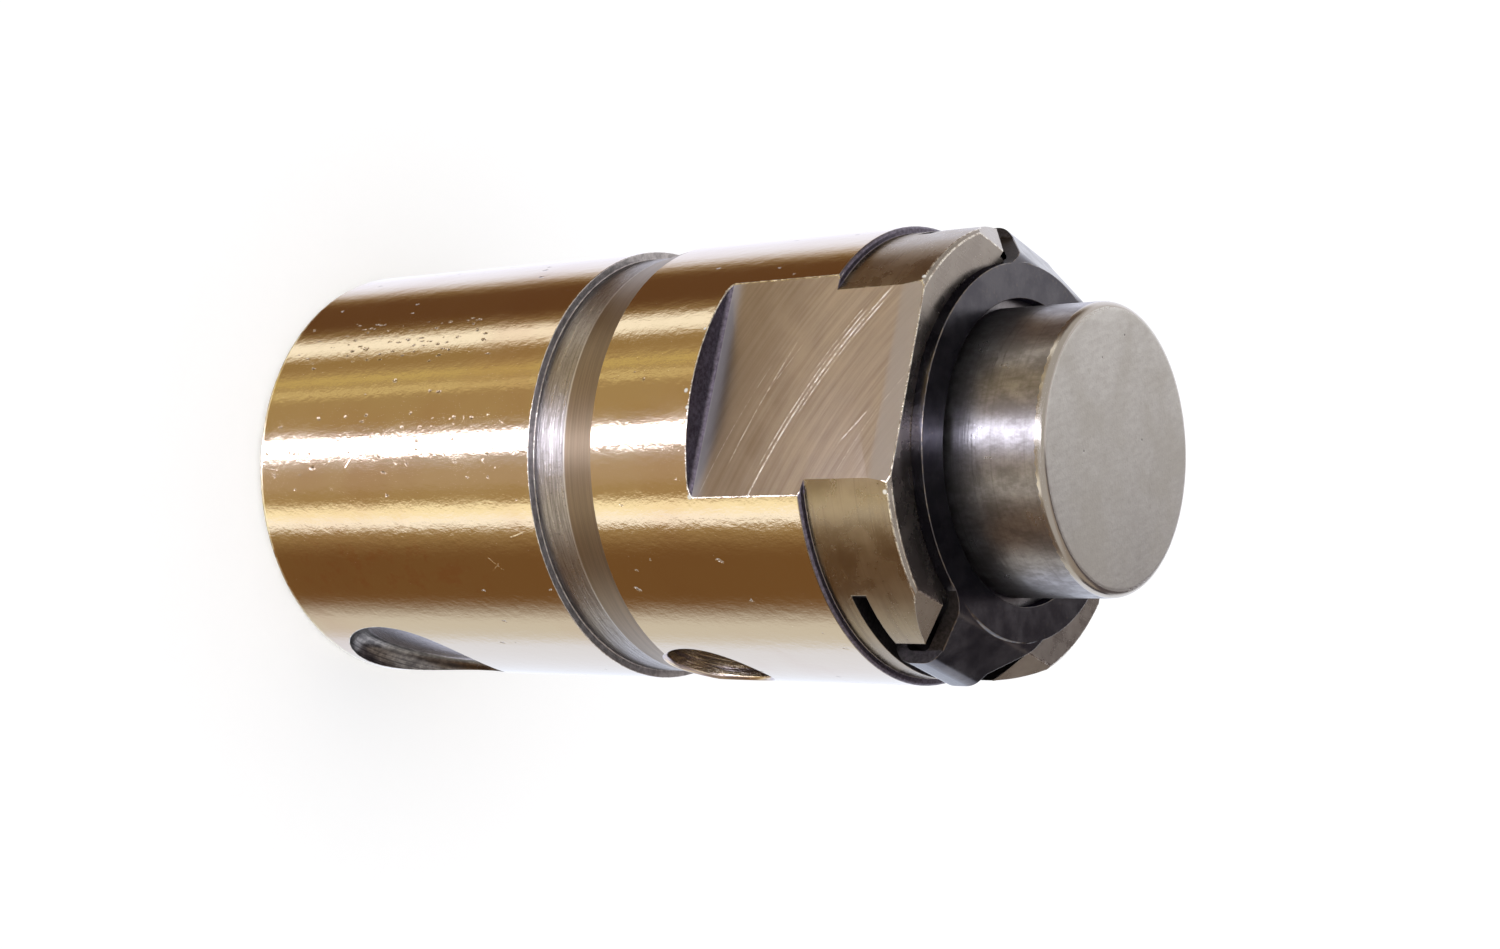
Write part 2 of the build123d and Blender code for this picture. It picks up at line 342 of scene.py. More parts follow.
# Small torn burrs on the machined edges, painted as near-white, barely metallic glints, as (azimuth, radius, height,
# size)
burrGlintPlan = {
    "tone": colour(0.96, 0.93, 0.88),
    "metallic": 0.1,
    "core": 0.45,  # share of a burr's size that has its full tone
    "spots": [
        (-87.2, 12.70, 33.38, 0.17), (-82.9, 12.70, 33.62, 0.15), (-61.2, 12.66, 33.78, 0.20),
        (-62.0, 12.60, 41.10, 0.20), (-120.0, 12.60, 41.06, 0.18), (-118.0, 12.30, 46.15, 0.16),
        (-65.9, 12.20, 46.30, 0.15), (-61.0, 12.30, 46.05, 0.17), (-104.0, 12.68, 33.50, 0.12),
        (61.0, 12.66, 33.80, 0.16), (118.5, 12.60, 41.08, 0.16), (97.0, 12.70, 33.45, 0.12),
    ],
}


def burrGlints(g, shader, place, tone, metallic=1.0, plan=burrGlintPlan):
    near = []
    for azimuth, radius, height, size in plan["spots"]:
        angle = math.radians(azimuth)
        spot = (radius * math.cos(angle), radius * math.sin(angle), height)
        gap = g.vector("LENGTH", g.vector("SUBTRACT", place, spot))
        near.append(g.ramp(gap, size, size * plan["core"]))
    # painted glints: each spot turns near white and loses most of its metallic
    share = g.most(*near)
    g.feed(shader.inputs["Metallic"], g.ramp(share, 0.0, 1.0, metallic, plan["metallic"]))
    return g.mix(share, tone, plan["tone"])


# The outside is laid out by arc length round the body and by height.
# A patch has a start, an end and a softness, both round the body and up it.
groundPlan = {
    "steel": colour(0.65, 0.56, 0.46),
    "stain": colour(0.58, 0.44, 0.36),
    "stainShare": 0.45,
    "rust": colour(0.62, 0.36, 0.26),
    "rustShare": 0.35,
    "rustPatch": {"round": (-11.2, -7.6, 1.2), "up": (2.0, 17.0, 3.0)},
    "polish": (0.055, 0.12),
    "pit": colour(0.24, 0.18, 0.14),
    "pitDepth": 22,
    "plainPits": 0.035,
    "nickPits": 0.55,
    "nickPatch": {"round": (-25.4, -22.6, 0.9), "up": (2.5, 17.5, 2.5)},
    "wornPits": 0.16,
    "wornPatch": {"round": (-20.3, -14.6, 0.9), "up": (1.0, 20.0, 2.0)},
    # painted highlight: a bright line round the foot's lower edge
    "footEdgeHighlight": colour(0.92, 0.87, 0.72),
    "footHighlightLine": (0.62, 0.44),
    "scratch": colour(0.95, 0.86, 0.72),
    "scratchWidth": 0.06,
    "scratches": [
        ((-10.27, 18.10), (-9.43, 18.98)), ((-9.37, 18.17), (-9.89, 18.87)),
        ((-11.43, 20.30), (-11.72, 21.39)), ((-15.78, 7.77), (-16.25, 8.19)),
    ],
}


def patchShare(g, arc, height, patch):
    return g.times(g.between(arc, *patch["round"]), g.between(height, *patch["up"]))


def groundSteel(plan=groundPlan):
    material, g, shader, place = newFinish("groundSteel", plan["steel"], 0.08)
    skin = unrolled(g, place, bodyZones["outsideRadius"])
    arc, height = g.split(skin)["X"], g.split(skin)["Y"]
    lines = g.noise(place, (0.30, 0.30, 11.0))
    ripple = g.noise(place, (1.8, 1.8, 1.2), 4.0, 0.65)
    grain = g.noise(place, (5.5, 5.5, 3.5), 3.0, 0.7)
    smudge = g.noise(place, 0.22, 4.0, 0.6)

    stain = g.ramp(g.noise(place, 0.10, 3.0), 0.50, 0.72, 0.0, plan["stainShare"])
    tone = g.mix(stain, plan["steel"], plan["stain"])
    rust = patchShare(g, arc, height, plan["rustPatch"])
    rust = g.times(rust, g.ramp(g.noise(place, 0.9, 4.0, 0.7), 0.48, 0.66))
    tone = g.mix(g.times(rust, plan["rustShare"]), tone, plan["rust"])

    nicked = patchShare(g, arc, height, plan["nickPatch"])
    worn = patchShare(g, arc, height, plan["wornPatch"])
    share = g.math("ADD", g.times(nicked, plan["nickPits"]), g.times(worn, plan["wornPits"]))
    share = g.math("ADD", plan["plainPits"], share)
    uneven = g.times(g.noise(place, 3.2, 3.0, 0.7), 0.45)
    uneven = g.vector("ADD", g.vector("MULTIPLY", place, (1, 1, 0.6)), uneven)
    pit = g.most(g.pits(uneven, 2.4, 0.26, share), g.pits(uneven, 1.2, 0.20, g.times(share, 0.5)))
    dashes = g.pits(g.vector("MULTIPLY", uneven, (1, 1, 0.45)), 3.1, 0.22, g.times(nicked, 0.6))
    pit = g.most(pit, dashes)
    tone = g.mix(g.times(pit, 0.8), tone, plan["pit"])

    width = plan["scratchWidth"]
    marks = g.most(*(g.stroke(skin, start, end, width) for start, end in plan["scratches"]))
    marks = g.times(marks, g.ramp(g.noise(place, 5.0), 0.35, 0.55, 0.2, 0.75))
    tone = g.mix(marks, tone, plan["scratch"])
    # painted highlight along the foot's lower edge, broken up by noise
    foot = g.times(g.ramp(height, *plan["footHighlightLine"]), g.ramp(g.noise(place, 1.6, 3.0), 0.30, 0.50, 0.55, 1.0))
    tone = g.mix(foot, tone, plan["footEdgeHighlight"])
    tone = burrGlints(g, shader, place, tone)
    g.feed(shader.inputs["Base Color"], tone)

    polish = g.ramp(smudge, 0.35, 0.75, *plan["polish"])
    worked = g.math("ADD", g.times(marks, 0.3), g.times(foot, 0.25))
    g.feed(shader.inputs["Roughness"], g.math("ADD", polish, worked))
    normal = g.bump(lines, 1.4)
    normal = g.bump(ripple, 11, normal)
    normal = g.bump(grain, 3.2, normal)
    normal = g.bump(pit, -plan["pitDepth"], normal)
    g.feed(shader.inputs["Normal"], g.bump(marks, 5, normal))
    return material


groovePlan = {
    "shadeTone": colour(0.22, 0.20, 0.195),
    "brightTone": colour(0.42, 0.395, 0.40),
    "grit": colour(0.11, 0.10, 0.11),
    "polish": (0.34, 0.26),
    "flank": colour(0.275, 0.21, 0.15),
    "flankShade": colour(0.215, 0.165, 0.12),
    # painted highlight along the turn from the floor into the flank
    "edge": colour(0.85, 0.84, 0.86),
    "edgeHighlightLine": (24.80, 24.62),
}


def grooveFloor(plan=groovePlan):
    material, g, shader, place = newFinish("grooveFloor", plan["brightTone"], 0.24, 0.95)
    rings = g.noise(place, (0.45, 0.45, 9.0), 4.0, 0.7)
    fine = g.noise(place, (0.5, 0.5, 16.0), 2.0)
    torn = g.noise(place, (2.2, 2.2, 3.0), 4.0, 0.7)
    grit = g.noise(place, 6.0, 3.0, 0.7)
    tone = g.mix(g.ramp(rings, 0.32, 0.64), plan["shadeTone"], plan["brightTone"])
    tone = g.mix(g.ramp(grit, 0.56, 0.74, 0.0, 0.75), tone, plan["grit"])
    g.feed(shader.inputs["Base Color"], tone)
    g.feed(shader.inputs["Roughness"], g.ramp(rings, 0.3, 0.7, *plan["polish"]))
    normal = g.bump(rings, 12)
    normal = g.bump(fine, 8, normal)
    normal = g.bump(torn, 22, normal)
    g.feed(shader.inputs["Normal"], g.bump(grit, 12, normal))
    return material


def grooveFlank(plan=groovePlan):
    material, g, shader, place = newFinish("grooveFlank", plan["flank"], 0.36, 0.95)
    height = g.split(place)["Z"]
    rings = g.noise(place, (0.14, 0.14, 7.0), 3.0)
    grain = g.noise(place, 4.0, 3.0, 0.6)
    tone = g.mix(g.ramp(rings, 0.3, 0.7), plan["flankShade"], plan["flank"])
    # painted highlight: the flank turns pale along its lower edge
    tone = g.mix(g.times(g.ramp(height, *plan["edgeHighlightLine"]), 0.6), tone, plan["edge"])
    g.feed(shader.inputs["Base Color"], tone)
    normal = g.bump(rings, 6)
    g.feed(shader.inputs["Normal"], g.bump(grain, 3, normal))
    return material


def brightEdge(name, base, metallic, roughness):
    material, g, shader, place = newFinish(name, base, roughness, metallic)
    chips = g.noise(place, 2.6, 4.0, 0.7)
    g.feed(shader.inputs["Base Color"], g.mix(g.ramp(chips, 0.36, 0.62), shaded(base, 0.62), base))
    g.feed(shader.inputs["Normal"], g.bump(chips, 25))
    return material


neckPlan = {
    "steel": colour(0.42, 0.36, 0.31),
    "dark": colour(0.30, 0.248, 0.19),
    "light": colour(0.375, 0.308, 0.228),
    "ring": colour(0.22, 0.175, 0.145),
    "polish": (0.22, 0.32),
    "metallic": 0.97,
}


def neckSteel(plan=neckPlan):
    material, g, shader, place = newFinish("neckSteel", plan["steel"], 0.27, plan["metallic"])
    rings = g.noise(place, (0.12, 0.12, 8.0), 3.0, 0.6)
    blotch = g.noise(place, 0.5, 4.0, 0.6)
    grain = g.noise(place, 5.0, 2.0)
    tone = g.mix(g.ramp(blotch, 0.35, 0.7), plan["dark"], plan["light"])
    tone = g.mix(g.ramp(rings, 0.5, 0.75, 0.0, 0.5), tone, plan["ring"])
    tone = burrGlints(g, shader, place, tone, plan["metallic"])
    g.feed(shader.inputs["Base Color"], tone)
    g.feed(shader.inputs["Roughness"], g.ramp(blotch, 0.3, 0.7, *plan["polish"]))
    normal = g.bump(rings, 9)
    g.feed(shader.inputs["Normal"], g.bump(grain, 1.5, normal))
    return material


endPlan = {
    "steel": colour(0.36, 0.32, 0.28),
    "dark": colour(0.31, 0.27, 0.24),
    "light": colour(0.40, 0.355, 0.315),
    "polish": (0.23, 0.33),
    "metallic": 0.97,
}


def endSteel(plan=endPlan):
    material, g, shader, place = newFinish("endSteel", plan["steel"], 0.27, plan["metallic"])
    strokes = g.noise(place, (5.0, 0.35, 3.0), 3.0, 0.6)
    blotch = g.noise(place, 0.6, 4.0, 0.6)
    tone = g.mix(g.ramp(blotch, 0.35, 0.7), plan["dark"], plan["light"])
    tone = burrGlints(g, shader, place, tone, plan["metallic"])
    g.feed(shader.inputs["Base Color"], tone)
    g.feed(shader.inputs["Roughness"], g.ramp(blotch, 0.3, 0.7, *plan["polish"]))
    g.feed(shader.inputs["Normal"], g.bump(strokes, 6))
    return material


# The flats are laid out as (x, z) on the one that faces -Y. Cutter marks are circles about the mill's centre,
# as (radius, (start, end), width, amount), and strokes are (start, end, width, amount).
milledPlan = {
    "steel": colour(0.50, 0.445, 0.425),
    "shadeTone": colour(0.365, 0.31, 0.29),
    "blotch": colour(0.53, 0.455, 0.39),
    # darker towards the flat's lower end
    "flatFootDark": colour(0.205, 0.15, 0.105),
    "flatFootDarkLine": (44.0, 36.8),
    "light": colour(0.82, 0.79, 0.77),
    # painted light: a paler, less metallic band along the flat's foot beside the shoulder
    "band": colour(0.37, 0.345, 0.37),
    "paintedRootBandLine": (34.95, 33.95),
    "paintedRootBandMetallic": 0.25,
    # painted reflection: a lighter grey band over the flat's top end, where its relief catches light differently
    "paintedEndSheen": colour(0.43, 0.405, 0.41),
    "paintedEndSheenLine": (44.9, 45.4),
    "centre": (17.18, 68.87),
    "arcs": [
        (33.13, (-5.2, 6.4), 0.085, 1.0), (33.38, (-3.9, 4.6), 0.06, 0.8), (32.90, (-4.6, 1.6), 0.05, 0.7),
        (33.62, (-4.3, -0.6), 0.05, 0.6), (36.3, (-1.0, 5.9), 0.05, 0.35), (28.6, (-1.2, 5.0), 0.05, 0.35),
    ],
    "faintCentre": (20.80, 82.20),
    "faintArcs": [(49.10, (-2.35, 4.13), 0.06, 0.55)],
    "strokes": [((1.61, 44.32), (3.19, 42.97), 0.07, 0.6), ((-2.2, 39.3), (0.6, 37.4), 0.05, 0.4)],
}


def cutterMarks(g, sheet, plan):
    streaks = []
    for centre, arcs in ((plan["centre"], plan["arcs"]), (plan["faintCentre"], plan["faintArcs"])):
        for radius, reach, width, amount in arcs:
            streaks.append(g.times(g.arc(sheet, centre, radius, reach, width), amount))
    for start, end, width, amount in plan["strokes"]:
        streaks.append(g.times(g.stroke(sheet, start, end, width), amount))
    return g.most(*streaks)


def milledSteel(plan=milledPlan):
    material, g, shader, place = newFinish("milledSteel", plan["steel"], 0.32, 0.90)
    axes = g.split(place)
    side = g.math("SIGN", axes["Y"])
    sheet = g.join(g.math("MULTIPLY", axes["X"], g.math("MULTIPLY", side, -1.0)), axes["Z"])
    offset = g.vector("SUBTRACT", sheet, (*plan["centre"], 0))
    swing = g.vector("LENGTH", offset)
    angle = g.split(g.vector("NORMALIZE", offset))["Y"]
    trail = g.join(swing, g.math("MULTIPLY", angle, 12.0))
    marks = g.noise(trail, (3.4, 0.5, 1), 4.0, 0.7)
    fine = g.noise(trail, (11.0, 0.8, 1), 2.0, 0.6)
    grain = g.noise(place, 7.0, 3.0, 0.7)
    blotch = g.noise(place, 0.45, 3.0)
    broken = g.ramp(g.noise(place, 2.6, 3.0, 0.75), 0.38, 0.60, 0.12, 0.85)
    scratch = g.times(cutterMarks(g, sheet, plan), broken)

    tone = g.mix(g.ramp(marks, 0.30, 0.70), plan["shadeTone"], plan["steel"])
    tone = g.mix(g.ramp(grain, 0.55, 0.75, 0.0, 0.35), tone, plan["shadeTone"])
    tone = g.mix(g.ramp(blotch, 0.4, 0.7, 0.0, 0.3), tone, plan["blotch"])
    # darker towards the flat's lower end, with a blotchy edge
    uneven = g.math("ADD", axes["Z"], g.times(blotch, 4.0))
    tone = g.mix(g.ramp(uneven, *plan["flatFootDarkLine"], 0.0, 0.62), tone, plan["flatFootDark"])
    # painted light: paler, less metallic band along the flat's foot
    paintedRootBand = g.ramp(axes["Z"], *plan["paintedRootBandLine"])
    tone = g.mix(g.times(paintedRootBand, 0.9), tone, plan["band"])
    # painted reflection: lighter grey over the flat's top end
    tone = g.mix(g.times(g.ramp(axes["Z"], *plan["paintedEndSheenLine"]), 0.75), tone, plan["paintedEndSheen"])
    tone = g.mix(scratch, tone, plan["light"])
    g.feed(shader.inputs["Base Color"], tone)
    g.feed(shader.inputs["Metallic"], g.ramp(paintedRootBand, 0.0, 1.0, 0.92, plan["paintedRootBandMetallic"]))
    g.feed(shader.inputs["Roughness"], g.math("ADD", 0.30, g.times(scratch, 0.12)))
    normal = g.bump(marks, 14)
    normal = g.bump(fine, 4, normal)
    normal = g.bump(grain, 5, normal)
    g.feed(shader.inputs["Normal"], g.bump(scratch, 12, normal))
    return material


def darkSteel(name, base, roughness, metallic=0.9):
    material, g, shader, place = newFinish(name, base, roughness, metallic)
    grain = g.noise(place, 5.0, 4.0, 0.7)
    g.feed(shader.inputs["Base Color"], g.mix(g.ramp(grain, 0.3, 0.7), shaded(base, 0.6), shaded(base, 1.5)))
    g.feed(shader.inputs["Normal"], g.bump(grain, 10))
    return material


edgePlan = {
    "steel": colour(0.70, 0.64, 0.55),
    "dark": colour(0.40, 0.34, 0.29),
    "light": colour(0.84, 0.79, 0.70),
    "chipDepth": 45,
}


def edgeSteel(plan=edgePlan):
    material, g, shader, place = newFinish("edgeSteel", plan["steel"], 0.20)
    chips = g.noise(place, 3.2, 3.0, 0.7)
    tone = g.mix(g.ramp(chips, 0.38, 0.62), plan["dark"], plan["light"])
    g.feed(shader.inputs["Base Color"], burrGlints(g, shader, place, tone))
    g.feed(shader.inputs["Normal"], g.bump(chips, plan["chipDepth"]))
    return material


holePlan = {
    "steel": colour(0.50, 0.42, 0.36),
    "dark": colour(0.50, 0.425, 0.44),
    "light": colour(0.84, 0.70, 0.50),
    "ringDepth": 30,
}


def holeSteel(plan=holePlan):
    material, g, shader, place = newFinish("holeSteel", plan["steel"], 0.24, 0.97)
    sheet = g.vector("SUBTRACT", place, (0, 0, bodyZones["holeHeight"]))
    rings = g.noise(sheet, (5.0, 0.3, 0.3), 3.0, 0.7)
    tone = g.mix(g.ramp(rings, 0.38, 0.62), plan["dark"], plan["light"])
    g.feed(shader.inputs["Base Color"], tone)
    g.feed(shader.inputs["Normal"], g.bump(rings, plan["ringDepth"]))
    return material


pocketPlan = {
    "wall": {
        "dark": colour(0.10, 0.092, 0.095), "light": colour(0.29, 0.27, 0.265), "roughness": 0.22, "cutDepth": 0.5,
    },
    "floor": {
        "dark": colour(0.38, 0.35, 0.385), "light": colour(0.48, 0.44, 0.48), "roughness": 0.25, "cutDepth": 0.12,
    },
}


def pocketSteel(name, plan):
    material, g, shader, place = newFinish(name, plan["light"], plan["roughness"], 0.95)
    centred = g.vector("SUBTRACT", place, (0, 0, bodyZones["pocketHeight"]))
    offset = g.vector("MULTIPLY", centred, (0, 1, 1))
    swing = g.join(g.vector("LENGTH", offset), g.split(place)["X"])
    rings = g.noise(swing, (4.0, 4.0, 1), 3.0, 0.6)
    chips = g.noise(place, (2.0, 2.0, 2.0), 4.0, 0.7)
    fine = g.noise(swing, (7.0, 9.0, 1), 2.0, 0.5)
    both = g.times(g.math("ADD", chips, fine), 0.5)
    g.feed(shader.inputs["Base Color"], g.mix(g.ramp(both, 0.40, 0.62), plan["dark"], plan["light"]))
    normal = g.bump(rings, 16 * plan["cutDepth"])
    normal = g.bump(fine, 12 * plan["cutDepth"], normal)
    g.feed(shader.inputs["Normal"], g.bump(chips, 22 * plan["cutDepth"], normal))
    return material


clipPlan = {
    "dark": colour(0.068, 0.064, 0.078),
    "light": colour(0.118, 0.112, 0.126),
    "worn": colour(0.21, 0.18, 0.155),
    "polish": (0.16, 0.25),
    "legStart": 9.0,      # beyond this distance from the axis a sideways face is a leg's sheared side, painted near black as shade
    "shearFacing": 0.7,
}


def clipSteel(plan=clipPlan):
    material, g, shader, place = newFinish("bluedSheet", plan["dark"], 0.24, 0.95)
    blotch = g.noise(place, 0.6, 4.0, 0.6)
    grain = g.noise(place, 6.0, 2.0)
    tone = g.mix(g.ramp(blotch, 0.35, 0.7), plan["dark"], plan["light"])
    tone = g.mix(g.times(g.ramp(grain, 0.62, 0.75), 0.5), tone, plan["worn"])
    g.feed(shader.inputs["Base Color"], tone)
    g.feed(shader.inputs["Roughness"], g.ramp(blotch, 0.3, 0.7, *plan["polish"]))
    g.feed(shader.inputs["Normal"], g.bump(grain, 3))
    return material


def clipEdge(plan=clipPlan):
    material, g, shader, place = newFinish("bluedEdge", plan["worn"], 0.25)
    chips = g.noise(place, 3.0, 3.0, 0.6)
    g.feed(shader.inputs["Base Color"], g.mix(g.ramp(chips, 0.4, 0.6), plan["light"], plan["worn"]))
    g.feed(shader.inputs["Normal"], g.bump(chips, 12))
    return material


# Heights and radii are in millimetres; lay is the way the face's grinding marks run
plungerPlan = {
    "side": colour(0.28, 0.265, 0.275),
    "sideDark": colour(0.20, 0.185, 0.19),
    "sideLight": colour(0.37, 0.355, 0.37),
    "sideRing": colour(0.14, 0.125, 0.13),
    "sidePolish": (0.33, 0.27),
    "edge": colour(0.47, 0.43, 0.39),
    "edgePolish": (0.13, 0.22),
    "face": colour(0.60, 0.57, 0.52),
    "faceDark": colour(0.56, 0.53, 0.50),
    "faceLight": colour(0.64, 0.615, 0.58),
    "mottle": colour(0.47, 0.435, 0.40),
    "cloud": colour(0.51, 0.475, 0.42),
    "speck": colour(0.16, 0.14, 0.13),
    "facePolish": (0.33, 0.42),
    "lay": (-0.56, 0.83),
    "faceLow": 52.6,
    "edgeLow": 52.1,
    "insideHigh": 52.0,
    "insideRadius": 7.0,
}


def plungerSide(plan=plungerPlan):
    material, g, shader, place = newFinish("plungerSide", plan["side"], 0.30, 0.95)
    rings = g.noise(place, (0.06, 0.06, 9.0), 3.0, 0.7)
    patch = g.noise(place, (0.8, 0.8, 0.5), 4.0, 0.7)
    fine = g.noise(place, (1.2, 1.2, 14.0), 2.0)
    grain = g.noise(place, 5.0, 2.0)
    tone = g.mix(g.ramp(patch, 0.35, 0.68), plan["sideDark"], plan["sideLight"])
    tone = g.mix(g.ramp(rings, 0.5, 0.75, 0.0, 0.45), tone, plan["sideRing"])
    g.feed(shader.inputs["Base Color"], tone)
    g.feed(shader.inputs["Roughness"], g.ramp(patch, 0.3, 0.7, *plan["sidePolish"]))
    normal = g.bump(rings, 11)
    normal = g.bump(fine, 5, normal)
    g.feed(shader.inputs["Normal"], g.bump(grain, 5, normal))
    return material


def noseEdge(plan=plungerPlan):
    material, g, shader, place = newFinish("noseEdge", plan["edge"], 0.15)
    rings = g.noise(place, (0.2, 0.2, 9.0), 2.0)
    g.feed(shader.inputs["Roughness"], g.ramp(g.noise(place, 0.8), 0.3, 0.7, *plan["edgePolish"]))
    g.feed(shader.inputs["Normal"], g.bump(rings, 3))
    return material


def plungerFace(plan=plungerPlan):
    material, g, shader, place = newFinish("plungerFace", plan["face"], 0.36, 0.92)
    layX, layY = plan["lay"]
    across = g.vector("DOT_PRODUCT", place, (layY, -layX, 0.0))
    along = g.vector("DOT_PRODUCT", place, (layX, layY, 0.0))
    streak = g.noise(g.join(across, along), (3.6, 0.9, 1), 4.0, 0.65)
    cloud = g.noise(place, 0.35, 3.0)
    speck = g.pits(place, 1.5, 0.13, 0.05)
    grain = g.noise(place, 7.0, 2.0)
    mottle = g.noise(place, 2.3, 4.0, 0.75)
    tone = g.mix(g.ramp(streak, 0.3, 0.7), plan["faceDark"], plan["faceLight"])
    tone = g.mix(g.ramp(mottle, 0.52, 0.70, 0.0, 0.45), tone, plan["mottle"])
    tone = g.mix(g.ramp(cloud, 0.4, 0.7, 0.0, 0.5), tone, plan["cloud"])
    tone = g.mix(g.times(speck, 0.8), tone, plan["speck"])
    g.feed(shader.inputs["Base Color"], tone)
    g.feed(shader.inputs["Roughness"], g.ramp(cloud, 0.3, 0.7, *plan["facePolish"]))
    normal = g.bump(streak, 5)
    normal = g.bump(mottle, 9, normal)
    normal = g.bump(grain, 4, normal)
    g.feed(shader.inputs["Normal"], g.bump(speck, -20, normal))
    return material


def plainSteel(name, base, roughness):
    material, g, shader, place = newFinish(name, base, roughness)
    grain = g.noise(place, 3.0, 4.0)
    blotch = g.noise(place, 0.8, 3.0)
    g.feed(shader.inputs["Base Color"], g.mix(g.ramp(blotch, 0.35, 0.7), base, shaded(base, 0.82)))
    g.feed(shader.inputs["Roughness"], g.ramp(grain, 0.3, 0.7, roughness * 0.8, roughness * 1.2))
    g.feed(shader.inputs["Normal"], g.bump(grain, 4))
    return material


finishes = {
    "ground": groundSteel(),
    "grooveFloor": grooveFloor(),
    "grooveFlank": grooveFlank(),
    "neck": neckSteel(),
    "end": endSteel(),
    "milled": milledSteel(),
    # painted shade: the step face and the flat's corner fillet are near black, as upward faces in an inner corner
    "shoulderShade": darkSteel("shoulderShadeSteel", colour(0.14, 0.12, 0.155), 0.38),
    "grooveWall": brightEdge("grooveWall", colour(0.60, 0.555, 0.55), 0.75, 0.28),
    # painted highlight: the foot chamfer is pale and half metallic, so that it reads as a bright line
    "footEdgeHighlight": brightEdge("footEdgeHighlight", colour(0.84, 0.79, 0.66), 0.45, 0.36),
    # painted shade: the slit and notch faces are near black, as the narrow gaps lie in shadow
    "slitShade": darkSteel("slitShadeSteel", colour(0.05, 0.043, 0.045), 0.45),
    "bore": darkSteel("boreSteel", colour(0.16, 0.14, 0.13), 0.35),
    "hole": holeSteel(),
    "pocketWall": pocketSteel("pocketWall", pocketPlan["wall"]),
    "pocketFloor": pocketSteel("pocketFloor", pocketPlan["floor"]),
    "edge": edgeSteel(),
    "clip": clipSteel(),
    "clipEdge": clipEdge(),
    # painted shade: the legs' sheared sides are near black
    "clipShearShade": darkSteel("bluedShearShade", colour(0.030, 0.026, 0.028), 0.5),
    "plungerSide": plungerSide(),
    "noseEdge": noseEdge(),
    "plungerFace": plungerFace(),
    "plungerInside": plainSteel("plungerInside", colour(0.42, 0.39, 0.36), 0.34),
    "inner": plainSteel("innerSteel", colour(0.52, 0.50, 0.47), 0.28),
    "ball": plainSteel("ballSteel", colour(0.66, 0.66, 0.66), 0.08),
    "spring": plainSteel("springWire", colour(0.40, 0.37, 0.33), 0.28),
}
print("stage: finishes made")


# Dressed copies of the CAD solids: the same form with broken edges and a finish for each machined face
dressPlan = {
    "merge": 0.002 * mm,
    "sharpAngle": math.radians(28),
    "creaseAngle": math.radians(4),  # machined faces that meet at more than this keep a crisp line
    "blendAngle": math.radians(35),  # rounded faces blend up to this
    "turnedSlack": 0.03,             # how far the normal of a turned face may lean sideways
    "turnedSpread": 0.012 * mm,      # how far its corners may lie off the turned surface
    "axisGap": 0.5 * mm,             # nearer to the axis than this no face is taken as turned
    "levelFacing": 0.9995,           # a normal closer to the axis than this is a level face's
    "breakSteps": 2,
    "breakProfile": 0.6,
    "nothing": 0.000001,
}


def turnedSlope(face):
    # the radial and axial parts of the normal of a face that lies on a turned surface, else None
    centre, normal = face.calc_center_median(), face.normal
    radius = math.hypot(centre.x, centre.y)
    if radius < dressPlan["axisGap"] or abs(normal.z) > dressPlan["levelFacing"]:
        return None
    if abs(abs(centre.y) / mm - bodyZones["flatFace"]) < 0.1 and abs(normal.y) > 0.9:
        return None
    across = (centre.x * normal.y - centre.y * normal.x) / radius
    if abs(across) > dressPlan["turnedSlack"]:
        return None
    outward = (centre.x * normal.x + centre.y * normal.y) / radius
    levels = [math.hypot(v.co.x, v.co.y) * outward + v.co.z * normal.z for v in face.verts]
    if max(levels) - min(levels) > dressPlan["turnedSpread"]:
        return None
    return Vector((outward, normal.z)).normalized()


def sweptNormal(slope, place):
    radius = math.hypot(place.x, place.y)
    return Vector((slope.x * place.x / radius, slope.x * place.y / radius, slope.y))


def machinedNormals(work, broken, rounded):
    # exact normals for turned and flat faces; the broken edges between them roll from one to the other
    slopes = {face.index: turnedSlope(face) for face in work.faces if face.index not in broken}
    corner = {}
    for vert in work.verts:
        owners = [face for face in vert.link_faces if face.index not in broken]
        for face in owners:
            limit = dressPlan["blendAngle" if rounded(face) else "creaseAngle"]
            slope = slopes[face.index]
            total = Vector((0, 0, 0))
            for other in owners:
                weight = other.calc_area() ** 0.5
                near = slopes[other.index]
                if slope is not None and near is not None:
                    if slope.angle(near) < limit:
                        total += sweptNormal(near, vert.co) * weight
                elif slope is None and (near is None or rounded(face)) and other.normal.angle(face.normal) < limit:
                    total += other.normal * weight
            if total.length < dressPlan["nothing"] * mm:
                total = sweptNormal(slope, vert.co) if slope is not None else face.normal.copy()
            corner[face.index, vert.index] = total.normalized()
    for vert in work.verts:
        owned = [corner[f.index, vert.index] for f in vert.link_faces if f.index not in broken]
        cut = [f for f in vert.link_faces if f.index in broken]
        source = owned or [f.normal for f in cut]
        total = sum(source, Vector((0, 0, 0)))
        for face in cut:
            facing = total if total.length > dressPlan["nothing"] else face.normal
            corner[face.index, vert.index] = facing.normalized()
    return corner


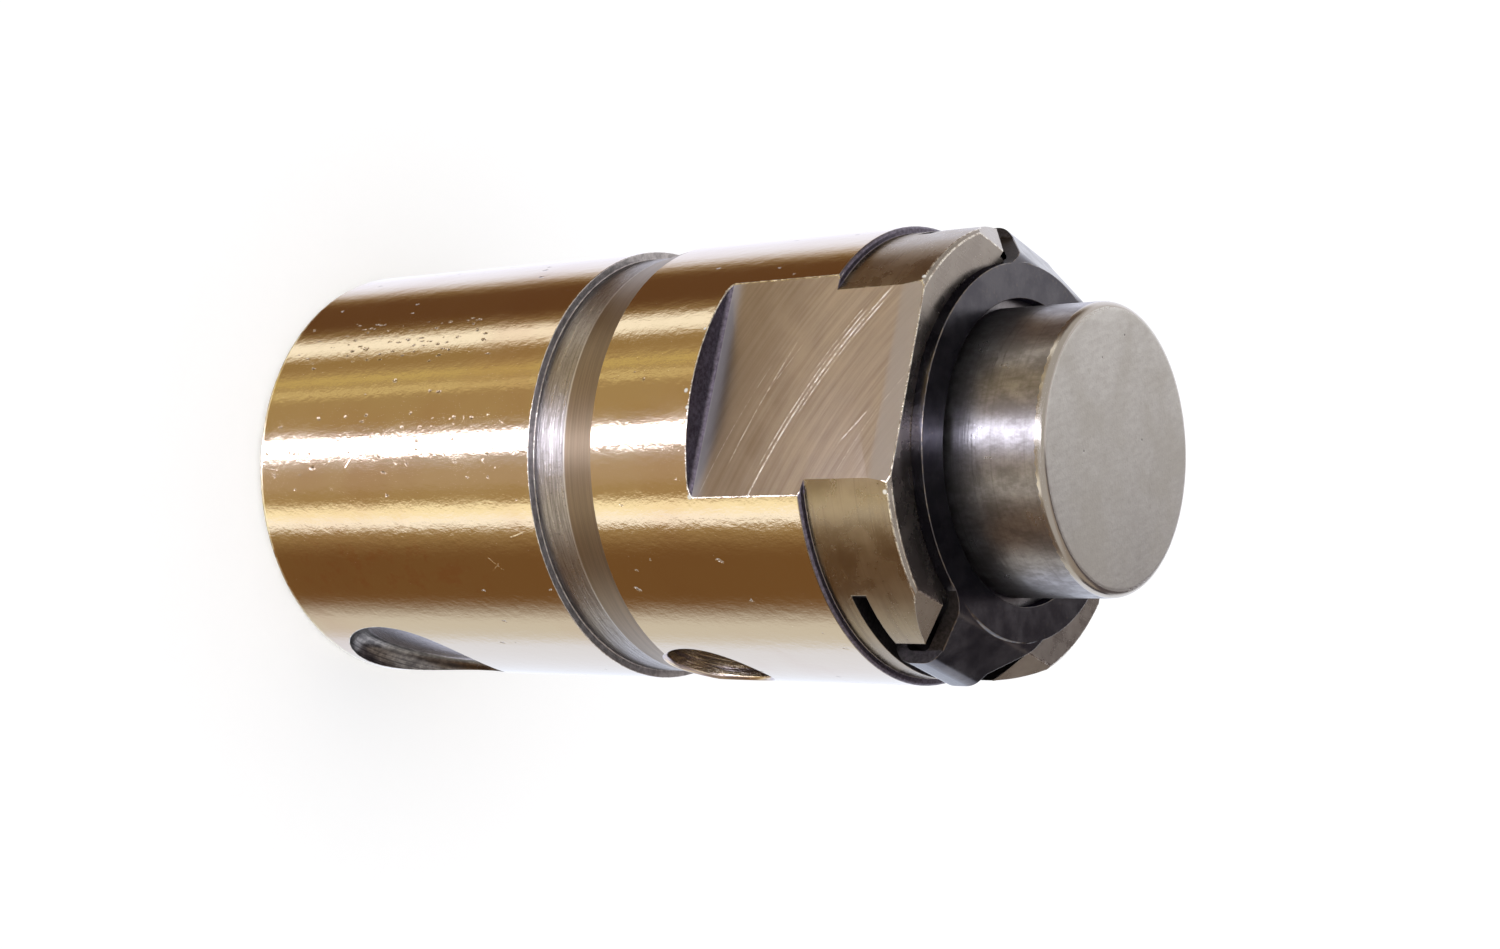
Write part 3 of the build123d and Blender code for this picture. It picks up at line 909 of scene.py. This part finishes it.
def dressedCopy(node, name, breakWidth, pickFinish, rounded, body):
    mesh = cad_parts[node].data.copy()
    mesh.name = name
    mesh.materials.clear()
    used = []
    work = bmesh.new()
    work.from_mesh(mesh)
    bmesh.ops.remove_doubles(work, verts=work.verts, dist=dressPlan["merge"])
    bmesh.ops.dissolve_degenerate(work, edges=work.edges, dist=dressPlan["merge"] / 2)
    work.normal_update()
    edges = [e for e in work.edges if e.is_manifold and e.calc_face_angle(0) > dressPlan["sharpAngle"]]
    broken = set()
    if breakWidth:
        skin = BVHTree.FromBMesh(work)
        result = bmesh.ops.bevel(
            work, geom=edges, offset=breakWidth, offset_type="OFFSET", segments=dressPlan["breakSteps"],
            profile=dressPlan["breakProfile"], affect="EDGES", clamp_overlap=False, harden_normals=False,
        )
        for vert in work.verts:
            spot, _, _, gap = skin.find_nearest(vert.co)
            if gap > breakWidth:
                vert.co = spot  # a corner with no room for the bevel stays on the solid's skin
        work.normal_update()
        work.faces.index_update()
        broken = {face.index for face in result["faces"]}
    work.verts.index_update()
    work.faces.index_update()
    for face in work.faces:
        finish = pickFinish(face.calc_center_median() / mm, face.normal, face.index in broken)
        if finish not in used:
            used.append(finish)
        face.material_index = used.index(finish)
        face.smooth = True
    corner = machinedNormals(work, broken, rounded)
    work.to_mesh(mesh)
    work.free()
    for finish in used:
        mesh.materials.append(finishes[finish])
    normals = [corner[face.index, v] for face in mesh.polygons for v in face.vertices]
    mesh.normals_split_custom_set([tuple(n) for n in normals])
    piece = bpy.data.objects.new(name, mesh)
    scene.collection.objects.link(piece)
    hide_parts(node)
    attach(piece, body)


def inPocket(p):
    z = bodyZones
    return p.x > z["pocketFloor"] - 0.1 and math.hypot(p.y, p.z - z["pocketHeight"]) < z["pocketRadius"]


def inHole(p):
    z = bodyZones
    return p.x > z["holeStart"] and math.hypot(p.y, p.z - z["holeHeight"]) < z["holeRadius"]


def bodyRounded(face):
    # faces that blend into their neighbours: the bore's bottom, the pocket, the hole, the slit's floor and the
    # cutter's corner at the flat's foot
    p = face.calc_center_median() / mm
    z = bodyZones
    radius = math.hypot(p.x, p.y)
    if radius < z["boreRadius"] + 0.05:
        return p.z < z["boreBend"]
    if (inPocket(p) or inHole(p)) and radius < z["outsideRadius"] - 0.01:
        return True
    inSlit = z["slitLow"] - 0.02 < p.z < z["slitHigh"] + 0.02
    if inSlit and abs(p.x) < z["notchFloor"] + 0.5 and abs(face.normal.z) < 0.5:
        return True
    return z["flatLow"] < p.z < z["flatLow"] + z["cornerRadius"] + 0.02 and abs(face.normal.x) < 0.01


def bodyFinish(p, n, broken):
    # the bare numbers say how far a face's middle may lie from its zone's line, and which way the face looks
    z = bodyZones
    radius = math.hypot(p.x, p.y)
    side = abs(p.y)
    onMouth = p.z > z["top"] - 0.35 and n.z > 0.5
    if radius < z["boreRadius"] + 0.12 and not onMouth:
        return "bore"
    if inHole(p) and radius < z["outsideRadius"] - 0.08:
        return "hole"
    if inPocket(p):
        if n.x > 0.95 and p.x < z["pocketFloor"] + 0.1:
            return "pocketFloor"
        if radius < z["outsideRadius"] - 0.03:
            return "pocketWall"
    # the foot chamfer takes the painted highlight
    if p.z < 0.36 and n.z < -0.3 and radius > z["outsideRadius"] - 0.4:
        return "footEdgeHighlight"
    if abs(p.z - z["grooveLow"]) < 0.08 and n.z > 0.3 and radius > z["outsideRadius"] - 0.46:
        return "grooveWall"
    # painted shade on the step face
    if abs(p.z - z["step"]) < 0.15 and n.z > 0.4 and radius > z["neckRadius"] - 0.02:
        return "shoulderShade"
    onFlatEdge = side > z["flatFace"] - 0.15 and abs(p.x) < z["flatHalf"] + 0.3
    if broken and (p.z < z["grooveHigh"] + 0.1 or onFlatEdge or p.z > z["top"] - 0.4):
        return "edge"
    onFlat = side > z["flatFace"] - 0.1 and abs(p.x) < z["flatHalf"] and radius < z["outsideRadius"] - 0.04
    if z["flatLow"] - 0.05 < p.z and onFlat:
        # painted shade on the flat's corner fillet
        if p.z < z["flatLow"] + z["cornerRadius"] + 0.02 and n.z > 0.3:
            return "shoulderShade"
        if side < z["flatFace"] + 0.2:
            return "milled"
    # painted shade inside the slit and the notch
    inSlit = z["slitLow"] - 0.02 < p.z < z["slitHigh"] + 0.02 and abs(p.x) > z["sideStart"]
    if inSlit and (abs(n.z) > 0.8 or radius < z["neckRadius"] - 0.1):
        return "slitShade"
    if abs(p.x) > z["boreRadius"] and z["slitHigh"] - 0.05 < p.z and side < z["notchHalf"] and abs(n.z) < 0.3:
        if radius < z["neckRadius"] - 0.05:
            return "slitShade"
    if z["grooveLow"] - 0.02 < p.z < z["grooveHigh"] + 0.02 and radius < z["outsideRadius"] - 0.005:
        return "grooveFloor" if p.z < z["grooveTurn"] else "grooveFlank"
    if p.z > z["slitHigh"] and n.z > 0.5:
        return "end"
    if p.z < z["step"] - 0.2 and radius > z["outsideRadius"] - 0.05:
        return "ground"
    if p.z < 0.5:
        return "ground"
    return "neck"


def clipFinish(p, n, broken):
    # painted shade on the legs' sheared sides
    if abs(n.y) > clipPlan["shearFacing"] and abs(p.x) > clipPlan["legStart"]:
        return "clipShearShade"
    return "clipEdge" if broken else "clip"


def plungerFinish(p, n, broken):
    radius = math.hypot(p.x, p.y)
    if p.z > plungerPlan["faceLow"] and n.z > 0.95:
        return "plungerFace"
    if p.z > plungerPlan["edgeLow"] and n.z > 0.05:
        return "noseEdge"
    if p.z < plungerPlan["insideHigh"] and radius < plungerPlan["insideRadius"]:
        return "plungerInside"
    return "plungerSide"


def allRounded(face):
    return True


bodyBreak = 0.06 * mm
clipBreak = 0.05 * mm
dressedCopy("lifter_body", "lifterBody", bodyBreak, bodyFinish, bodyRounded, "body")
dressedCopy("retaining_clip", "retainingClip", clipBreak, clipFinish, allRounded, "body")
dressedCopy("plunger", "plungerNose", 0.0, plungerFinish, allRounded, "plunger")
print("stage: body, clip and plunger dressed")


# Coil springs: a spiral swept with the wire's section
coilSteps = {"path": 40, "section": 16}


def coilTree(finish, steps=coilSteps):
    tree = bpy.data.node_groups.new("coilSpring", "GeometryNodeTree")
    for label in ("Coil Radius", "Wire Radius", "Rise", "Turns", "Foot"):
        tree.interface.new_socket(label, in_out="INPUT", socket_type="NodeSocketFloat")
    tree.interface.new_socket("Geometry", in_out="OUTPUT", socket_type="NodeSocketGeometry")
    g = Graph(tree)
    sizes = g.add("NodeGroupInput").outputs
    path = g.add("GeometryNodeCurveSpiral", {
        "Resolution": steps["path"], "Rotations": sizes["Turns"], "Start Radius": sizes["Coil Radius"],
        "End Radius": sizes["Coil Radius"], "Height": sizes["Rise"],
    })
    lift = g.join(0.0, 0.0, sizes["Foot"])
    placed = g.add("GeometryNodeTransform", {"Geometry": path.outputs[0], "Translation": lift})
    section = g.add("GeometryNodeCurvePrimitiveCircle", {
        "Resolution": steps["section"], "Radius": sizes["Wire Radius"],
    })
    wire = g.add("GeometryNodeCurveToMesh", {
        "Curve": placed.outputs[0], "Profile Curve": section.outputs[0], "Fill Caps": True,
    })
    solid = g.add("GeometryNodeRealizeInstances", {"Geometry": wire.outputs[0]})
    dressedWire = g.add("GeometryNodeSetMaterial", {"Geometry": solid.outputs[0], "Material": finish})
    g.add("NodeGroupOutput", {0: dressedWire.outputs[0]})
    return tree


def plainMesh(piece):
    # the finished mesh of a piece in place of its Geometry Nodes
    graph = bpy.context.evaluated_depsgraph_get()
    mesh = bpy.data.meshes.new_from_object(piece.evaluated_get(graph))
    piece.modifiers.clear()
    piece.data = mesh
    return mesh


# Heights, radii and travel are in millimetres; gap is left free below and above the wire
springPlan = {
    "returnCoil": {
        "node": "plunger_spring", "body": "body", "joint": "plunger_slide", "foot": 6.5, "head": 16.5,
        "coilRadius": 6.25, "wireRadius": 0.55, "turns": 4.0, "travel": 4.0, "gap": 0.02,
    },
    "ballCoil": {
        "node": "check_ball_spring", "body": "plunger", "joint": "ball_slide", "foot": 12.0, "head": 14.086,
        "coilRadius": 1.33, "wireRadius": 0.12, "turns": 3.5, "travel": 0.7, "gap": 0.02,
    },
}


def makeSpring(name, plan, tree):
    piece = bpy.data.objects.new(name, bpy.data.meshes.new(name))
    scene.collection.objects.link(piece)
    modifier = piece.modifiers.new("coil", "NODES")
    modifier.node_group = tree
    length = plan["head"] - plan["foot"]
    sizes = {
        "Coil Radius": plan["coilRadius"], "Wire Radius": plan["wireRadius"],
        "Rise": length - 2 * (plan["wireRadius"] + plan["gap"]),
        "Foot": plan["foot"] + plan["wireRadius"] + plan["gap"],
    }
    for item in tree.interface.items_tree:
        if item.name in sizes:
            modifier[item.identifier] = sizes[item.name] * mm
        elif item.name == "Turns":
            modifier[item.identifier] = plan["turns"]
    mesh = plainMesh(piece)
    work = bmesh.new()
    work.from_mesh(mesh)
    bmesh.ops.remove_doubles(work, verts=work.verts, dist=dressPlan["merge"] / 4)
    bmesh.ops.recalc_face_normals(work, faces=work.faces)
    for face in work.faces:
        face.smooth = len(face.verts) <= 4  # the wire's cut ends stay flat
    work.to_mesh(mesh)
    work.free()
    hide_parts(plan["node"])
    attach(piece, plan["body"])
    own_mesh(piece)


springTree = coilTree(finishes["spring"])
for springName, plan in springPlan.items():
    makeSpring(springName, plan, springTree)
print("stage: springs wound")

nodeFinish = {"valve_seat": "inner", "check_valve_cage": "inner", "check_ball": "ball"}
for nodeName, finishName in nodeFinish.items():
    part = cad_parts[nodeName]
    part.data.materials.clear()
    part.data.materials.append(finishes[finishName])
